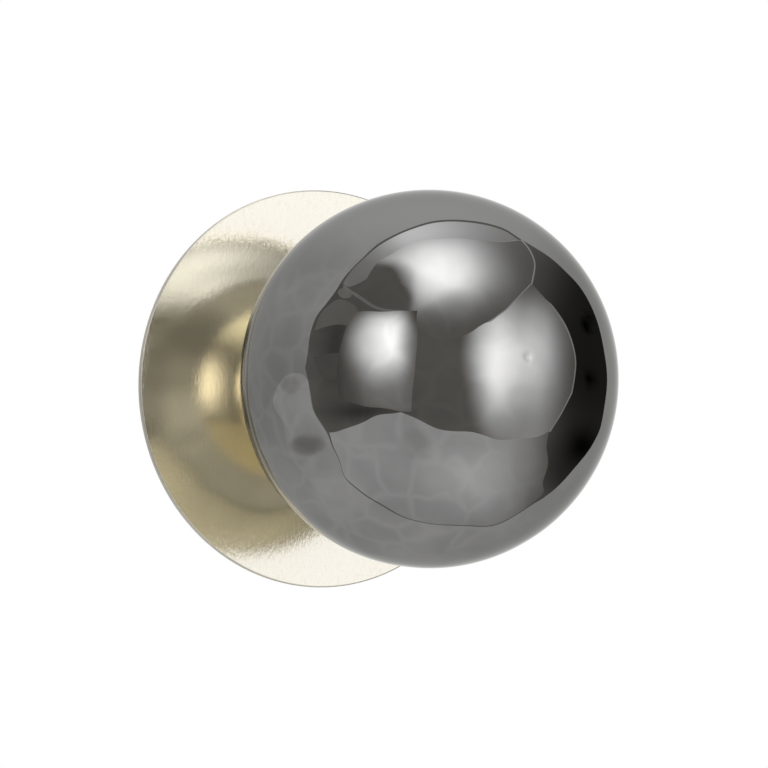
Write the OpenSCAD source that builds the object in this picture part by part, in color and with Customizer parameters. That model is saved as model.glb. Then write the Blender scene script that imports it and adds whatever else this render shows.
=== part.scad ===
// Globe wall sconce: a mirrored glass globe in front of a flat round wall plate.
// The origin is the centre of the wall bracket's back face, on the wall.
// +Z is up and -Y points away from the wall, along the axis of the globe.
// Every piece is drawn with its own z as the distance from the wall, and outward() turns it.

/* [Globe] */
// Outer diameter of the glass globe
globe_d = 200; // [190:1:210]
// Thickness of the globe's wall
globe_wall = 3; // [2.5:0.5:4]
// Gap between the wall plate and the back of the globe, measured on the axis
globe_gap = 21; // [19:1:26]
// Diameter over the screw beads of the neck
neck_thread_d = 84.5; // [82:0.5:87]
// Thickness of the neck's wall
neck_wall = 3; // [2.5:0.25:3.5]
// Height of the screw beads above the neck
bead_h = 1.75; // [1.25:0.25:2]
// Width of a screw bead along the neck
bead_w = 3; // [2:0.5:3.5]
// Distance from one screw bead to the next
bead_pitch = 6; // [4.5:0.5:7]
// Number of screw beads
bead_count = 2; // [1:1:2]
// Radius of the shoulder where the neck runs into the globe
shoulder_r = 5; // [3:0.5:6]

/* [Wall plate] */
// Diameter of the wall plate
plate_d = 230; // [210:2:250]
// Thickness of the wall plate
plate_t = 3; // [2:0.5:4]
// Radius of the plate's front edge
plate_edge_r = 0.8; // [0.5:0.1:1.2]
// Distance from the axis to a stud on the back of the plate
stud_offset = 40; // [36:1:42]
// Diameter of a plate stud
stud_d = 4; // [3:0.5:4]
// Length of a plate stud behind the plate
stud_l = 7; // [6:0.5:8]

/* [Rear housing] */
// Outer diameter of the rear housing
housing_d = 120; // [117:1:124]
// Depth of the rear housing, from the wall to the plate
housing_depth = 24; // [23:0.5:27]
// Thickness of the housing's sheet
housing_wall = 1.5; // [1:0.25:2]
// Outer radius of the housing's front corner
housing_corner_r = 4; // [3:0.5:5]
// Distance from the wall to the side screws
side_screw_level = 10; // [9:0.5:11]
// Diameter of a side screw
side_screw_d = 4; // [3.5:0.5:4.5]
// Length of a side screw under its head
side_screw_l = 10; // [9:0.5:11]
// Diameter of a side screw's head
side_head_d = 8; // [7:0.5:9]
// Height of a side screw's head
side_head_h = 3; // [2.5:0.5:4]
// Width of a weld nut across its flats
weld_nut_af = 7; // [6.5:0.5:8]
// Thickness of a weld nut
weld_nut_t = 3; // [2.5:0.5:3.5]

/* [Wall bracket] */
// Width of the bracket's strap
strap_w = 24; // [22:1:26]
// Thickness of the bracket's sheet
strap_t = 1.5; // [1:0.25:2]
// Height of the bracket's ears above the wall
ear_h = 16; // [14:0.5:17]
// Distance between the two wall screws
wall_screw_spacing = 60; // [58:1:64]
// Width of a wall screw slot
wall_slot_w = 4.5; // [4:0.25:5]
// Length of a wall screw slot, end to end
wall_slot_l = 14; // [10:1:15]
// Diameter of the cable bush's opening
cable_d = 9; // [8:0.5:10]
// Thickness of the cable bush's barrel
bush_wall = 2; // [1.5:0.25:2.5]
// Width of the cable bush's flange beyond its barrel
bush_flange_w = 2; // [1.5:0.25:2]
// Thickness of the cable bush's flange
bush_flange_t = 1.5; // [1:0.25:2]
// Distance from the axis to the earth screw
earth_offset = 16.5; // [16:0.5:17]
// Diameter of the earth screw
earth_screw_d = 3.5; // [3:0.5:4]
// Diameter of the earth screw's head
earth_head_d = 6.5; // [6:0.5:7]
// Height of the earth screw's head
earth_head_h = 2.4; // [2:0.2:3]
// Diameter of the earth washer
earth_washer_d = 8; // [7.5:0.5:8.5]
// Thickness of the earth washer
earth_washer_t = 1; // [0.6:0.2:1.2]

/* [Axis tube] */
// Outer diameter of the threaded tube
tube_d = 10; // [9:0.5:11]
// Thickness of the threaded tube's wall
tube_wall = 1; // [0.75:0.25:1.5]
// Width of the tube's nuts across their flats
tube_nut_af = 14; // [14:0.5:17]
// Thickness of a tube nut
tube_nut_t = 3; // [2.5:0.5:4]
// Thickness of the washer under the rear nut
tube_washer_t = 0.8; // [0.6:0.2:1.2]
// Width of the washer beyond the tube
tube_washer_w = 4; // [3:0.5:5]
// Length of thread that stands out past the nut at the rear and past the socket at the front
tube_end_l = 1.5; // [1:0.5:3]
// Thickness of the earth tag
tag_t = 0.8; // [0.6:0.1:1]
// Width of the earth tag's tail
tag_w = 5; // [4:0.5:6]
// Distance from the axis to the tip of the earth tag's barrel
tag_reach = 17; // [16:0.5:18]

/* [Globe holder] */
// Thickness of the holder's sheet
holder_wall = 1.4; // [1:0.2:1.6]
// Depth of the holder, from the plate to its rim
holder_depth = 24; // [22:0.5:25]
// Outer radius of the corner between the holder's floor and its wall
holder_corner_r = 3; // [2:0.5:3.5]
// Radius of the rolled rim
rim_r = 1.2; // [1:0.1:1.5]
// Thickness of the neck gasket
gasket_t = 2.5; // [2:0.25:3]

/* [Lampholder] */
// Outer diameter of the lampholder
socket_d = 40; // [39:0.5:43]
// Thickness of the lampholder's mouldings
socket_wall = 1.8; // [1.5:0.1:2]
// Thickness of the cap's floor
cap_floor_t = 2.5; // [2:0.5:3]
// Depth of the lampholder's cap
cap_depth = 14.5; // [13.5:0.5:16]
// Thickness of the core
core_t = 10; // [9:0.5:11]
// Distance that the core stands inside the cap
core_seat_l = 2; // [1.5:0.5:2.5]
// Length of the skirt
skirt_l = 32; // [31:0.5:34]
// Thickness of the skirt's front lip
skirt_lip_t = 2; // [1.5:0.25:2.5]
// Inner diameter of the screw shell
shell_d = 27; // [27:0.1:27.5]
// Thickness of the screw shell
shell_t = 0.5; // [0.4:0.1:0.6]
// Distance from the axis to a wire post
post_offset = 9.5; // [9:0.25:10]
// Diameter of a wire post
post_d = 5.2; // [5:0.2:6]
// Length of a wire post
post_l = 4.5; // [4:0.5:5]
// Height of the centre contact's bow above the core
contact_rise = 3; // [2.5:0.25:3.5]
// Width of the centre contact
contact_w = 5; // [4:0.5:6]
// Thickness of the centre contact
contact_t = 0.5; // [0.4:0.1:0.7]

/* [Terminal block] */
// Distance from one pole to the next
pole_pitch = 10; // [9.5:0.25:10.5]
// Length of the block along its wires
block_l = 16; // [15:0.5:17]
// Height of the block off the housing
block_h = 14; // [13:0.5:14]
// Distance from the axis to the near side of the block
block_offset = 24; // [23:0.5:25]
// Outer diameter of a terminal insert
insert_d = 6; // [5.5:0.25:6]
// Bore of a terminal insert
insert_bore_d = 3.2; // [2.8:0.2:3.4]
// Diameter of a terminal screw
clamp_screw_d = 2.8; // [2.4:0.2:2.8]
// Diameter of a terminal screw's head
clamp_head_d = 3.8; // [3.4:0.2:4]
// Height of a terminal screw's head
clamp_head_h = 2; // [1.5:0.25:2.5]
// Diameter of a screw that holds the block
block_screw_d = 2.9; // [2.5:0.1:3]
// Diameter of that screw's head
block_head_d = 5.4; // [5:0.2:6]
// Height of that screw's head
block_head_h = 1.6; // [1.2:0.2:2]
// Diameter of a wire over its insulation
wire_d = 2; // [1.6:0.1:2.1]

/* [Bulb] */
// Diameter of the bulb's glass
bulb_d = 60; // [54:1:62]
// Length of the bulb over all
bulb_l = 104; // [100:1:108]
// Thickness of the bulb's glass
bulb_wall = 1; // [0.8:0.1:1.2]
// Depth of the bulb cap's thread
cap_thread_h = 0.8; // [0.6:0.1:1]
// Pitch of the bulb cap's thread
cap_thread_pitch = 3.6; // [3.4:0.1:3.8]
// Number of turns on the bulb cap
cap_thread_turns = 5; // [4:1:5]
// Thickness of the bulb cap's sheet at the thread's root
cap_sheet_t = 0.5; // [0.4:0.1:0.6]
// Length of the plain collar above the thread
cap_collar_l = 4; // [3:0.5:5]
// Height of the bulb's insulator
insulator_h = 4.5; // [4:0.5:5]
// Diameter of the bulb's end contact
tip_d = 9; // [8:0.5:10]
// Height of the bulb's end contact
tip_h = 1.2; // [1:0.1:1.5]
// Number of filaments
filament_count = 4; // [2:1:6]
// Diameter of a filament
filament_d = 1.8; // [1.4:0.1:2]
// Length of a filament
filament_l = 36; // [32:1:38]
// Distance from the axis to a filament
filament_offset = 8; // [7:0.5:9]
// Diameter of a filament's lead
lead_d = 0.8; // [0.6:0.1:1]
// Diameter of the glass stem
stem_d = 6; // [5:0.5:7]

/* [Hidden] */

$fn = 96;
quarter_turn = 90;
half_turn = 180;
full_turn = 360;
hex_sides = 6;
wire_sides = 8;
route_steps = 3;
arc_steps = 6;
curve_steps = 12;
sides = [-1, 1];

// Clearances: fits inside one body, gaps between bodies that move, seats face to face,
// screw holes, and the bulb's thread inside its shell
fit_gap = 0.1;
run_gap = 0.35;
seat_gap = 0.2;
hole_gap = 0.25;
thread_gap = 0.3;
// How far a cut runs past the face that it opens
overrun = 1;

// Levels along the axis, measured from the wall
housing_roof = housing_depth - housing_wall;
plate_face = housing_depth + plate_t;
holder_floor = plate_face + holder_wall;
holder_rim = plate_face + holder_depth;
globe_level = plate_face + globe_gap + globe_d / 2;
tag_level = housing_roof - tag_t;
rear_washer_level = tag_level - tube_washer_t;
rear_nut_level = rear_washer_level - tube_nut_t;
tube_start = rear_nut_level - tube_end_l;
front_nut_top = holder_floor + tube_nut_t;
cap_inner_level = front_nut_top + cap_floor_t;
tube_stop = cap_inner_level + tube_end_l;
cap_top = front_nut_top + cap_depth;
core_level = cap_top - core_seat_l;
core_top = core_level + core_t;
skirt_top = cap_top + skirt_l;
shell_top = skirt_top - skirt_lip_t;

// Radii about the axis
tube_r = tube_d / 2;
tube_hole_r = tube_r + fit_gap;
tube_bore_r = tube_r - tube_wall;
housing_r = housing_d / 2;
housing_inner_r = housing_r - housing_wall;
neck_bead_r = neck_thread_d / 2;
neck_r = neck_bead_r - bead_h;
neck_bore_r = neck_r - neck_wall;
holder_bore_r = neck_bead_r + run_gap;
holder_r = holder_bore_r + holder_wall;
socket_r = socket_d / 2;
socket_inner_r = socket_r - socket_wall;
shell_r = shell_d / 2 + shell_t;

// Bracket
cable_r = cable_d / 2;
bush_r = cable_r + bush_wall;
ear_gap = 0.8;
ear_outer = housing_inner_r - weld_nut_t - ear_gap;
ear_slot_w = side_screw_d + 2 * run_gap;
ear_chamfer = 3;

// Terminal block
block_low = housing_roof - block_h;
insert_level = housing_roof - block_h / 2;
pole_places = [-pole_pitch, 0, pole_pitch];
block_end_wall = 5;
clamp_inset = 4;
clamp_sink = 1;
insert_inset = 1;
wire_r = wire_d / 2;
wire_bore_r = wire_r + fit_gap;
groove_w = 1.6;
groove_h = 3;
tag_barrel_l = 5;
tag_barrel_wall = 0.8;
tag_barrel_r = wire_bore_r + tag_barrel_wall;
tag_barrel_level = housing_roof - tag_barrel_r - fit_gap;
wire_lane = 1.4;
wire_grip = 2;
loop_depth = 5.5;
loop_level = tube_start - loop_depth;
loop_drop = insert_level - loop_level;
post_level = core_level - post_l / 2;

// Small hardware: driver slots, a small nut's width and height as shares of its thread, and
// the level where a weld nut's corners meet the round wall
driver_slot_w = 0.8;
driver_slot_h = 0.9;
nut_width_share = 1.75;
nut_height_share = 0.8;
weld_nut_corner_r = weld_nut_af / 2 / cos(half_turn / hex_sides);
weld_nut_seat = sqrt(pow(housing_inner_r, 2) - pow(weld_nut_corner_r, 2));

// Neck of the globe
neck_end = holder_floor + seat_gap + gasket_t + fit_gap;
first_bead = neck_end + bead_w;

// Bulb
bulb_tip = core_top + contact_rise + run_gap;
insulator_level = bulb_tip + tip_h;
bulb_cap_level = insulator_level + insulator_h;
thread_l = cap_thread_turns * cap_thread_pitch;
collar_level = bulb_cap_level + thread_l;
bulb_cap_top = collar_level + cap_collar_l;
cap_crest_r = shell_d / 2 - thread_gap;
cap_root_r = cap_crest_r - cap_thread_h;
cap_inner_r = cap_root_r - cap_sheet_t;
bulb_r = bulb_d / 2;
bulb_neck_r = cap_inner_r - fit_gap;
bulb_neck_level = bulb_cap_top - cap_collar_l;
bulb_centre = bulb_tip + bulb_l - bulb_r;
bulb_join_angle = 118;
bulb_join = [bulb_r * sin(bulb_join_angle), bulb_centre + bulb_r * cos(bulb_join_angle)];
bulb_flare_share = 0.42;
stem_foot_h = 5;
stem_inset = 1;
stem_foot_level = bulb_neck_level + stem_inset;
stem_top = bulb_centre - filament_l / 3;
filament_top = bulb_centre + filament_l / 4;
filament_low = filament_top - filament_l;

// Points on an arc about a centre
function arc(centre, radius, start, stop, steps) =
    [for (i = [0 : steps])
        let (angle = start + (stop - start) * i / steps)
        centre + radius * [cos(angle), sin(angle)]];

// A point on a cubic curve with four control points
function bezier(a, b, c, d, t) =
    pow(1 - t, 3) * a + 3 * t * pow(1 - t, 2) * b + 3 * t * t * (1 - t) * c + pow(t, 3) * d;

// A point on the smooth curve through a route, between its points i and i + 1
function route_point(route, i, t) =
    let (last = len(route) - 1,
        p0 = route[max(i - 1, 0)],
        p1 = route[i],
        p2 = route[min(i + 1, last)],
        p3 = route[min(i + 2, last)])
    (2 * p1 + (p2 - p0) * t + (2 * p0 - 5 * p1 + 4 * p2 - p3) * t * t
        + (3 * p1 - p0 - 3 * p2 + p3) * t * t * t) / 2;

function smooth(route, steps) =
    [for (i = [0 : len(route) - 2], j = [0 : steps - 1]) route_point(route, i, j / steps),
        route[len(route) - 1]];

function unit(v) = v / norm(v);

// The direction of a path at one of its points
function heading(path, i) =
    unit(path[min(i + 1, len(path) - 1)] - path[max(i - 1, 0)]);

// A side direction carried along a path without twist
function carried(path, i, side) =
    i == 0 ? unit(side - (side * heading(path, 0)) * heading(path, 0))
    : let (before = carried(path, i - 1, side), along = heading(path, i))
        unit(before - (before * along) * along);

// Turns a piece drawn along z so that z points away from the wall
module outward() {
    rotate([quarter_turn, 0, 0]) children();
}

module disc(radius, low, high) {
    translate([0, 0, low])
        cylinder(r = radius, h = high - low);
}

module ring(outer, inner, low, high) {
    difference() {
        disc(outer, low, high);
        disc(inner, low - overrun, high + overrun);
    }
}

module hex_nut(across, bore, low, high) {
    difference() {
        translate([0, 0, low])
            cylinder(r = across / 2 / cos(half_turn / hex_sides), h = high - low, $fn = hex_sides);
        disc(bore, low - overrun, high + overrun);
    }
}

module block(low, high) {
    translate(low) cube(high - low);
}

// A round wire along a smooth route, as one closed tube
module wire(route, radius, side) {
    path = smooth(route, route_steps);
    turns = [for (i = [0 : len(path) - 1]) carried(path, i, side)];
    points = [for (i = [0 : len(path) - 1], j = [0 : wire_sides - 1])
        let (angle = full_turn * j / wire_sides, along = heading(path, i))
        path[i] + radius * (cos(angle) * turns[i] + sin(angle) * cross(along, turns[i]))];
    last = (len(path) - 1) * wire_sides;
    walls = [for (i = [0 : len(path) - 2], j = [0 : wire_sides - 1])
        let (k = (j + 1) % wire_sides, low = i * wire_sides, high = low + wire_sides)
        each [[low + j, high + j, high + k], [low + j, high + k, low + k]]];
    start = [for (j = [1 : wire_sides - 2]) [0, j, j + 1]];
    stop = [for (j = [1 : wire_sides - 2]) [last, last + j + 1, last + j]];
    polyhedron(points = points, faces = concat(walls, start, stop));
}

module wall_bracket() {
    color("silver") outward()
    difference() {
        union() {
            block([-ear_outer, -strap_w / 2, 0], [ear_outer, strap_w / 2, strap_t]);
            for (side = sides)
                block([side * ear_outer - (side > 0 ? strap_t : 0), -strap_w / 2, 0],
                    [side * ear_outer + (side < 0 ? strap_t : 0), strap_w / 2, ear_h]);
        }
        disc(bush_r + fit_gap, -overrun, strap_t + overrun);
        translate([earth_offset, 0, 0])
            disc(earth_screw_d / 2 + fit_gap, -overrun, strap_t + overrun);
        for (side = sides) {
            wall_slot(side * wall_screw_spacing / 2);
            ear_slot(side);
            for (edge = sides)
                ear_corner(side, edge);
        }
    }
}

// A slot for a wall screw, which lets the light be levelled
module wall_slot(place) {
    travel = (wall_slot_l - wall_slot_w) / 2;
    for (end = sides)
        translate([place + end * travel, 0, 0])
            disc(wall_slot_w / 2, -overrun, strap_t + overrun);
    block([place - travel, -wall_slot_w / 2, -overrun],
        [place + travel, wall_slot_w / 2, strap_t + overrun]);
}

// An open slot in an ear, which a side screw slides into
module ear_slot(side) {
    near = side * ear_outer - (side > 0 ? strap_t + overrun : overrun);
    translate([near, 0, side_screw_level])
        rotate([0, quarter_turn, 0])
            cylinder(r = ear_slot_w / 2, h = strap_t + 2 * overrun);
    block([near, -ear_slot_w / 2, side_screw_level],
        [near + strap_t + 2 * overrun, ear_slot_w / 2, ear_h + overrun]);
}

// The clipped corner of an ear
module ear_corner(side, edge) {
    near = side * ear_outer - (side > 0 ? strap_t + overrun : overrun);
    translate([near, edge * strap_w / 2, ear_h])
        rotate([0, quarter_turn, 0])
            cylinder(r = ear_chamfer, h = strap_t + 2 * overrun, $fn = 4);
}

module cable_bush() {
    color("dimgray") outward() {
        difference() {
            union() {
                disc(bush_r, 0, strap_t);
                disc(bush_r + bush_flange_w, strap_t, strap_t + bush_flange_t);
            }
            disc(cable_r, -overrun, strap_t + bush_flange_t + overrun);
        }
    }
}

module earth_washer() {
    color("gold") outward()
    translate([earth_offset, 0, 0])
        ring(earth_washer_d / 2, earth_screw_d / 2 + fit_gap, strap_t, strap_t + earth_washer_t);
}

module earth_screw() {
    head_low = strap_t + earth_washer_t;
    color("gold") outward()
    translate([earth_offset, 0, 0])
        difference() {
            union() {
                disc(earth_screw_d / 2, 0, head_low);
                disc(earth_head_d / 2, head_low, head_low + earth_head_h);
            }
            driver_slot(earth_head_d, head_low + earth_head_h, 1);
        }
}

// The driver slot of a screw head; way is 1 where the head faces +z and -1 where it faces -z
module driver_slot(width, level, way) {
    low = way > 0 ? level - driver_slot_h : level - overrun;
    high = way > 0 ? level + overrun : level + driver_slot_h;
    block([-width / 2 - overrun, -driver_slot_w / 2, low],
        [width / 2 + overrun, driver_slot_w / 2, high]);
}

module rear_housing() {
    inner_corner_r = housing_corner_r - housing_wall;
    corner = [housing_r - housing_corner_r, housing_depth - housing_corner_r];
    color("whitesmoke") outward()
    difference() {
        rotate_extrude()
            polygon(concat(
                [[housing_inner_r, 0], [housing_r, 0]],
                arc(corner, housing_corner_r, 0, quarter_turn, arc_steps),
                [[tube_hole_r, housing_depth], [tube_hole_r, housing_roof]],
                arc(corner, inner_corner_r, quarter_turn, 0, arc_steps)));
        for (side = sides) {
            translate([side * (housing_r - housing_wall - overrun), 0, side_screw_level])
                rotate([0, side * quarter_turn, 0])
                    cylinder(r = side_screw_d / 2 + hole_gap, h = housing_wall + 2 * overrun);
            translate([side * stud_offset, 0, 0])
                disc(stud_d / 2 + hole_gap, housing_roof - overrun, housing_depth + overrun);
            translate([side * pole_pitch / 2, block_offset + block_l / 2, 0])
                disc(block_screw_d / 2 + fit_gap, housing_roof - overrun, housing_depth + overrun);
        }
    }
}

// Places a piece drawn along z so that its z points out through the side of the housing
module at_side(side) {
    translate([0, 0, side_screw_level])
        rotate([0, side * quarter_turn, 0])
            children();
}

module housing_screws() {
    color("silver") outward()
    for (side = sides)
        at_side(side)
            difference() {
                union() {
                    disc(side_screw_d / 2, housing_r - side_screw_l, housing_r);
                    disc(side_head_d / 2, housing_r, housing_r + side_head_h);
                }
                driver_slot(side_head_d, housing_r + side_head_h, 1);
            }
}

module housing_nuts() {
    color("silver") outward()
    for (side = sides)
        at_side(side)
            hex_nut(weld_nut_af, side_screw_d / 2 + fit_gap,
                housing_inner_r - weld_nut_t, weld_nut_seat);
}

module wall_plate() {
    plate_r = plate_d / 2;
    edge = [plate_r - plate_edge_r, plate_face - plate_edge_r];
    color("palegoldenrod") outward()
    rotate_extrude()
        polygon(concat(
            [[tube_hole_r, housing_depth], [plate_r, housing_depth]],
            arc(edge, plate_edge_r, 0, quarter_turn, arc_steps),
            [[tube_hole_r, plate_face]]));
}

module plate_studs() {
    color("goldenrod") outward()
    for (side = sides)
        translate([side * stud_offset, 0, 0])
            disc(stud_d / 2, housing_depth - stud_l, housing_depth);
}

module stud_nuts() {
    nut_t = stud_d * nut_height_share;
    color("silver") outward()
    for (side = sides)
        translate([side * stud_offset, 0, 0])
            hex_nut(stud_d * nut_width_share, stud_d / 2 + fit_gap, housing_roof - nut_t, housing_roof);
}

module threaded_tube() {
    color("silver") outward()
    ring(tube_r, tube_bore_r, tube_start, tube_stop);
}

module tube_nut() {
    color("silver") outward()
    hex_nut(tube_nut_af, tube_hole_r, rear_nut_level, rear_washer_level);
}

module tube_washer() {
    color("silver") outward()
    ring(tube_r + tube_washer_w, tube_hole_r, rear_washer_level, tag_level);
}

module earth_tag() {
    tail_start = tube_r + tube_washer_w / 2;
    tail_end = tag_reach - tag_barrel_l / 2;
    color("gold") outward()
    difference() {
        union() {
            disc(tube_r + tube_washer_w, tag_level, housing_roof);
            block([-tag_w / 2, tail_start, tag_level], [tag_w / 2, tail_end, housing_roof]);
            translate([0, tag_reach, tag_barrel_level])
                rotate([quarter_turn, 0, 0])
                    cylinder(r = tag_barrel_r, h = tag_barrel_l);
        }
        disc(tube_hole_r, tag_level - overrun, housing_roof + overrun);
        translate([0, tag_reach + overrun, tag_barrel_level])
            rotate([quarter_turn, 0, 0])
                cylinder(r = wire_bore_r, h = tag_barrel_l + overrun - tag_t);
    }
}

module globe_holder() {
    inner_corner_r = holder_corner_r - holder_wall;
    corner = [holder_r - holder_corner_r, plate_face + holder_corner_r];
    rim = [holder_bore_r + rim_r, holder_rim - rim_r];
    color("goldenrod") outward()
    rotate_extrude()
        polygon(concat(
            [[tube_hole_r, holder_floor], [tube_hole_r, plate_face]],
            arc(corner, holder_corner_r, -quarter_turn, 0, arc_steps),
            [[holder_r, rim[1] - rim_r]],
            arc(rim, rim_r, -quarter_turn / 2, half_turn, 2 * arc_steps),
            arc(corner, inner_corner_r, 0, -quarter_turn, arc_steps)));
}

module holder_nut() {
    color("goldenrod") outward()
    hex_nut(tube_nut_af, tube_hole_r, holder_floor, front_nut_top);
}

module neck_gasket() {
    color("gainsboro") outward()
    ring(neck_r, neck_bore_r, holder_floor + seat_gap, holder_floor + seat_gap + gasket_t);
}

module glass_globe() {
    globe_r = globe_d / 2;
    color("dimgray") outward()
    difference() {
        union() {
            translate([0, 0, globe_level]) sphere(r = globe_r);
            disc(neck_r, neck_end, globe_level - globe_r / 2);
            neck_shoulder(globe_r);
            for (i = [0 : bead_count - 1])
                neck_bead(first_bead + i * bead_pitch);
        }
        translate([0, 0, globe_level]) sphere(r = globe_r - globe_wall);
        disc(neck_bore_r, neck_end - overrun, globe_level - globe_r / 2);
    }
}

// The hollow curve from the neck out to the globe
module neck_shoulder(globe_r) {
    reach = neck_r + shoulder_r;
    centre = [reach, globe_level - sqrt(pow(globe_r + shoulder_r, 2) - pow(reach, 2))];
    tilt = acos(reach / (globe_r + shoulder_r));
    rotate_extrude()
        polygon(concat([[neck_r - neck_wall / 2, centre[1]]],
            arc(centre, shoulder_r, half_turn, half_turn - tilt, arc_steps),
            [[neck_r - neck_wall / 2, globe_level - globe_r / 2]]));
}

// One screw bead of the neck, with sloping sides
module neck_bead(level) {
    slope = bead_w / 4;
    rotate_extrude()
        polygon([[neck_r - neck_wall / 2, level - bead_w / 2], [neck_r, level - bead_w / 2],
            [neck_bead_r, level - bead_w / 2 + slope], [neck_bead_r, level + bead_w / 2 - slope],
            [neck_r, level + bead_w / 2], [neck_r - neck_wall / 2, level + bead_w / 2]]);
}

module socket_cap() {
    color("ivory") outward()
    difference() {
        disc(socket_r, front_nut_top, cap_top);
        disc(socket_inner_r, cap_inner_level, cap_top + overrun);
        disc(tube_hole_r, front_nut_top - overrun, cap_inner_level + overrun);
    }
}

module socket_core() {
    color("white") outward()
    difference() {
        disc(socket_inner_r - fit_gap, core_level, core_top);
        disc(tip_d / 2, core_level - overrun, core_level + core_t / 2);
    }
}

module socket_skirt() {
    color("ivory") outward()
    difference() {
        disc(socket_r, cap_top, skirt_top);
        disc(socket_inner_r, cap_top - overrun, shell_top);
        disc(shell_r + fit_gap, shell_top - overrun, skirt_top + overrun);
    }
}

module screw_shell() {
    color("gold") outward()
    ring(shell_r, shell_d / 2, core_top, shell_top);
}

// A bowed strip that presses on the end of the bulb
module centre_contact() {
    foot = shell_d / 4;
    crown = contact_rise - contact_t;
    color("gold") outward()
    rotate([quarter_turn, 0, 0])
        translate([0, 0, -contact_w / 2])
            linear_extrude(height = contact_w)
                polygon([[-foot, core_top], [-foot + contact_rise, core_top],
                    [-contact_t, core_top + crown], [contact_rise, core_top + crown],
                    [contact_rise + contact_t, core_top + crown + contact_t],
                    [-contact_t * 2, core_top + crown + contact_t],
                    [-foot + contact_t * 2, core_top + contact_t], [-foot, core_top + contact_t]]);
}

module wire_posts() {
    color("gold") outward()
    for (side = sides)
        difference() {
            translate([side * post_offset, 0, 0])
                disc(post_d / 2, core_level - post_l, core_level);
            translate([0, 0, core_level - post_l / 2])
                rotate([0, side * quarter_turn, 0])
                    cylinder(r = wire_bore_r, h = post_offset + post_d / 4);
        }
}

module terminal_block() {
    middle = block_offset + block_l / 2;
    half = pole_pitch + block_end_wall;
    color("white") outward()
    difference() {
        block([-half, block_offset, block_low], [half, block_offset + block_l, housing_roof]);
        for (place = pole_places) {
            translate([place, block_offset - overrun, insert_level])
                rotate([-quarter_turn, 0, 0])
                    cylinder(r = insert_d / 2 + fit_gap, h = block_l + 2 * overrun);
            for (end = sides)
                translate([place, clamp_place(end), 0])
                    disc(clamp_head_d / 2 + fit_gap, block_low - overrun, insert_level);
        }
        for (side = sides) {
            translate([side * pole_pitch / 2, middle, 0])
                disc(block_screw_d / 2 + fit_gap, block_low - overrun, housing_roof + overrun);
            for (end = sides)
                block_groove(side * pole_pitch / 2, middle + end * block_l / 2);
        }
    }
}

function clamp_place(end) = block_offset + block_l / 2 + end * (block_l / 2 - clamp_inset);

// A notch between two poles, at one end of the block
module block_groove(place, level) {
    block([place - groove_w / 2, level - groove_h, block_low - overrun],
        [place + groove_w / 2, level + groove_h, housing_roof - groove_h]);
}

module terminal_inserts() {
    color("gold") outward()
    for (place = pole_places)
        difference() {
            translate([place, block_offset + insert_inset, insert_level])
                rotate([-quarter_turn, 0, 0])
                    cylinder(r = insert_d / 2, h = block_l - 2 * insert_inset);
            translate([place, block_offset - overrun, insert_level])
                rotate([-quarter_turn, 0, 0])
                    cylinder(r = insert_bore_d / 2, h = block_l + 2 * overrun);
            for (end = sides)
                translate([place, clamp_place(end), 0])
                    disc(clamp_screw_d / 2 + fit_gap, insert_level - insert_d, insert_level);
        }
}

// The screws face the wall, so they are reached with the light off its bracket
module terminal_screws() {
    head_low = block_low + clamp_sink;
    color("silver") outward()
    for (place = pole_places, end = sides)
        translate([place, clamp_place(end), 0])
            difference() {
                union() {
                    disc(clamp_head_d / 2, head_low, head_low + clamp_head_h);
                    disc(clamp_screw_d / 2, head_low, insert_level - wire_bore_r);
                }
                driver_slot(clamp_head_d, head_low, -1);
            }
}

module block_screws() {
    color("silver") outward()
    for (side = sides)
        translate([side * pole_pitch / 2, block_offset + block_l / 2, 0])
            difference() {
                union() {
                    disc(block_screw_d / 2, block_low, housing_depth);
                    disc(block_head_d / 2, block_low - block_head_h, block_low);
                }
                driver_slot(block_head_d, block_low - block_head_h, -1);
            }
}

// The route of a supply wire from its pole, round behind the tube's end and through the tube
function supply_route(side) = [
    [side * pole_pitch, block_offset + insert_inset + wire_grip, insert_level],
    [side * pole_pitch, block_offset - wire_d, insert_level],
    [side * pole_pitch * 0.9, block_offset * 0.62, insert_level - loop_drop * 0.35],
    [side * pole_pitch * 0.65, block_offset * 0.36, insert_level - loop_drop * 0.75],
    [side * pole_pitch * 0.3, block_offset * 0.14, loop_level],
    [side * wire_lane, wire_r / 2, (loop_level + tube_start) / 2],
    [side * wire_lane, 0, tube_start],
    [side * wire_lane, 0, (tube_start + tube_stop) / 2],
    [side * wire_lane, 0, tube_stop],
    [side * wire_lane * 2, 0, tube_stop + (post_level - tube_stop) * 0.6],
    [side * post_offset * 0.55, 0, post_level],
    [side * post_offset, 0, post_level]];

module live_wire() {
    color("saddlebrown") outward()
    wire(supply_route(-1), wire_r, [1, 0, 0]);
}

module neutral_wire() {
    color("royalblue") outward()
    wire(supply_route(1), wire_r, [1, 0, 0]);
}

module earth_wire() {
    barrel_floor = tag_reach - tag_barrel_l + tag_t;
    earth_run = block_offset - tag_reach;
    earth_drop = tag_barrel_level - insert_level;
    color("yellowgreen") outward()
    wire([
        [0, barrel_floor + fit_gap, tag_barrel_level],
        [0, tag_reach, tag_barrel_level],
        [0, tag_reach + earth_run * 0.35, tag_barrel_level - earth_drop * 0.3],
        [0, tag_reach + earth_run * 0.7, tag_barrel_level - earth_drop * 0.85],
        [0, block_offset + insert_inset, insert_level],
        [0, block_offset + insert_inset + wire_grip, insert_level]], wire_r, [1, 0, 0]);
}

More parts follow.
